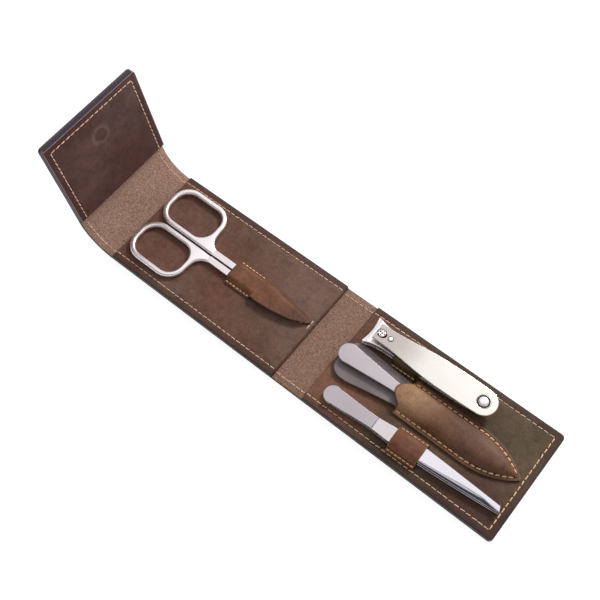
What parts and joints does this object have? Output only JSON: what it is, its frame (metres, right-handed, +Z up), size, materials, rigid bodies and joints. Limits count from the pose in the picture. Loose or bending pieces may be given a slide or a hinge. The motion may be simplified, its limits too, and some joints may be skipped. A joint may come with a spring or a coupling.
{
  "type": "manicure set case",
  "caption": "Folding leather manicure case with a magnetic flap, holding scissors, a lever nail clipper, a file and tweezers in stitched straps and a pouch.",
  "frame": {"origin": "centre of the base panel's underside", "axes": "+X from the spine to the base panel's free end, +Y across the case towards the clipper, +Z up out of the lining"},
  "size_m": [0.2408, 0.0566, 0.0688],
  "materials": {
    "outer_leather": "burnished",
    "lining_leather": "pull-up",
    "strap_leather": "pull-up",
    "suede": "suede",
    "thread": "waxed",
    "board": "fibreboard",
    "magnet": "plain",
    "plate": "plain",
    "satin_steel": "satin nickel",
    "matte_steel": "matte",
    "polished_steel": "polished",
    "guard_plastic": "matte"
  },
  "bodies": {
    "base": {"base_outer_leather": "outer_leather", "base_board": "board", "base_lining": "lining_leather", "base_closure_plate": "plate", "base_stitching": "thread", "clipper_strap": "strap_leather", "clipper_strap_stitching": "thread", "file_pouch": "strap_leather", "file_pouch_stitching": "thread", "file_guard": "guard_plastic", "tweezers_strap": "strap_leather", "tweezers_strap_stitching": "thread"},
    "spine": {"spine_leather": "suede", "spine_stitching": "thread"},
    "cover": {"cover_outer_leather": "outer_leather", "cover_board": "board", "cover_lining": "lining_leather", "cover_stitching": "thread", "scissors_sheath": "strap_leather", "scissors_sheath_stitching": "thread"},
    "gusset": {"gusset_leather": "suede", "gusset_stitching": "thread"},
    "flap": {"flap_outer_leather": "outer_leather", "flap_board": "board", "flap_lining": "lining_leather", "flap_magnet": "magnet", "flap_stitching": "thread"},
    "scissors": {"scissors_near_half": "satin_steel", "scissors_pivot_screw": "polished_steel"},
    "scissors_far": {"scissors_far_half": "satin_steel"},
    "clipper_body": {"clipper_lower_arm": "satin_steel", "clipper_tail_rivet": "polished_steel"},
    "clipper_upper": {"clipper_upper_arm": "satin_steel"},
    "clipper_post": {"clipper_post": "polished_steel"},
    "clipper_lever": {"clipper_lever": "satin_steel", "clipper_lever_button": "polished_steel"},
    "file": {"nail_file": "matte_steel"},
    "tweezers": {"tweezers_lower_arm": "matte_steel"},
    "tweezers_upper": {"tweezers_upper_arm": "matte_steel"}
  },
  "joints": [
    {"name": "spine_fold", "type": "hinge", "parent": "base", "child": "spine", "pos_m": [-0.05, 0, 0.0016], "axis": [0, 1, 0], "range_deg": [0, 90]},
    {"name": "cover_fold", "type": "hinge", "parent": "spine", "child": "cover", "pos_m": [-0.0667, 0, 0.0016], "axis": [0, 1, 0], "range_deg": [0, 90]},
    {"name": "gusset_fold", "type": "hinge", "parent": "cover", "child": "gusset", "pos_m": [-0.1667, 0, 0.0016], "axis": [0, 1, 0], "range_deg": [-41.25, 48.75]},
    {"name": "flap_fold", "type": "hinge", "parent": "gusset", "child": "flap", "pos_m": [-0.1826, 0, 0.01844], "axis": [0, 1, 0], "range_deg": [-41.25, 48.75]},
    {"name": "scissors_lift", "type": "slide", "parent": "cover", "child": "scissors", "axis": [0, 0, -1], "range_m": [-0.06, 0], "deforming": ["scissors_sheath", "scissors_sheath_stitching"]},
    {"name": "scissors_pivot", "type": "hinge", "parent": "scissors", "child": "scissors_far", "pos_m": [-0.0997, 0.0004, 0.00525], "axis": [0, 0, 1], "range_deg": [-50, 0]},
    {"name": "clipper_slide", "type": "slide", "parent": "base", "child": "clipper_body", "axis": [0.9998, 0.0209, 0], "range_m": [-0.05, 0]},
    {"name": "jaw_press", "type": "hinge", "parent": "clipper_body", "child": "clipper_upper", "pos_m": [0.01249, 0.01662, 0.00625], "axis": [-0.0209, 0.9998, 0], "range_deg": [-1.2, 0], "stiffness_Nm_per_rad": 5},
    {"name": "lever_swivel", "type": "hinge", "parent": "clipper_body", "child": "clipper_post", "pos_m": [-0.0383, 0.01555, 0.0108], "axis": [0, 0, 1], "range_deg": [-180, 0]},
    {"name": "lever_tilt", "type": "hinge", "parent": "clipper_post", "child": "clipper_lever", "pos_m": [-0.0383, 0.01555, 0.0113], "axis": [-0.0209, 0.9998, 0], "range_deg": [-30, 0]},
    {"name": "file_slide", "type": "slide", "parent": "base", "child": "file", "axis": [1, 0, 0], "range_m": [-0.058, 0]},
    {"name": "tweezers_slide", "type": "slide", "parent": "base", "child": "tweezers", "axis": [0.9995, 0.0314, 0], "range_m": [-0.056, 0]},
    {"name": "tweezers_squeeze", "type": "hinge", "parent": "tweezers", "child": "tweezers_upper", "pos_m": [-0.03868, -0.01892, 0.0062], "axis": [-0.0314, 0.9995, 0], "range_deg": [0, 1], "stiffness_Nm_per_rad": 2}
  ],
  "couplings": [
    {"joint": "flap_fold", "follows": "gusset_fold", "ratio": 1}
  ]
}
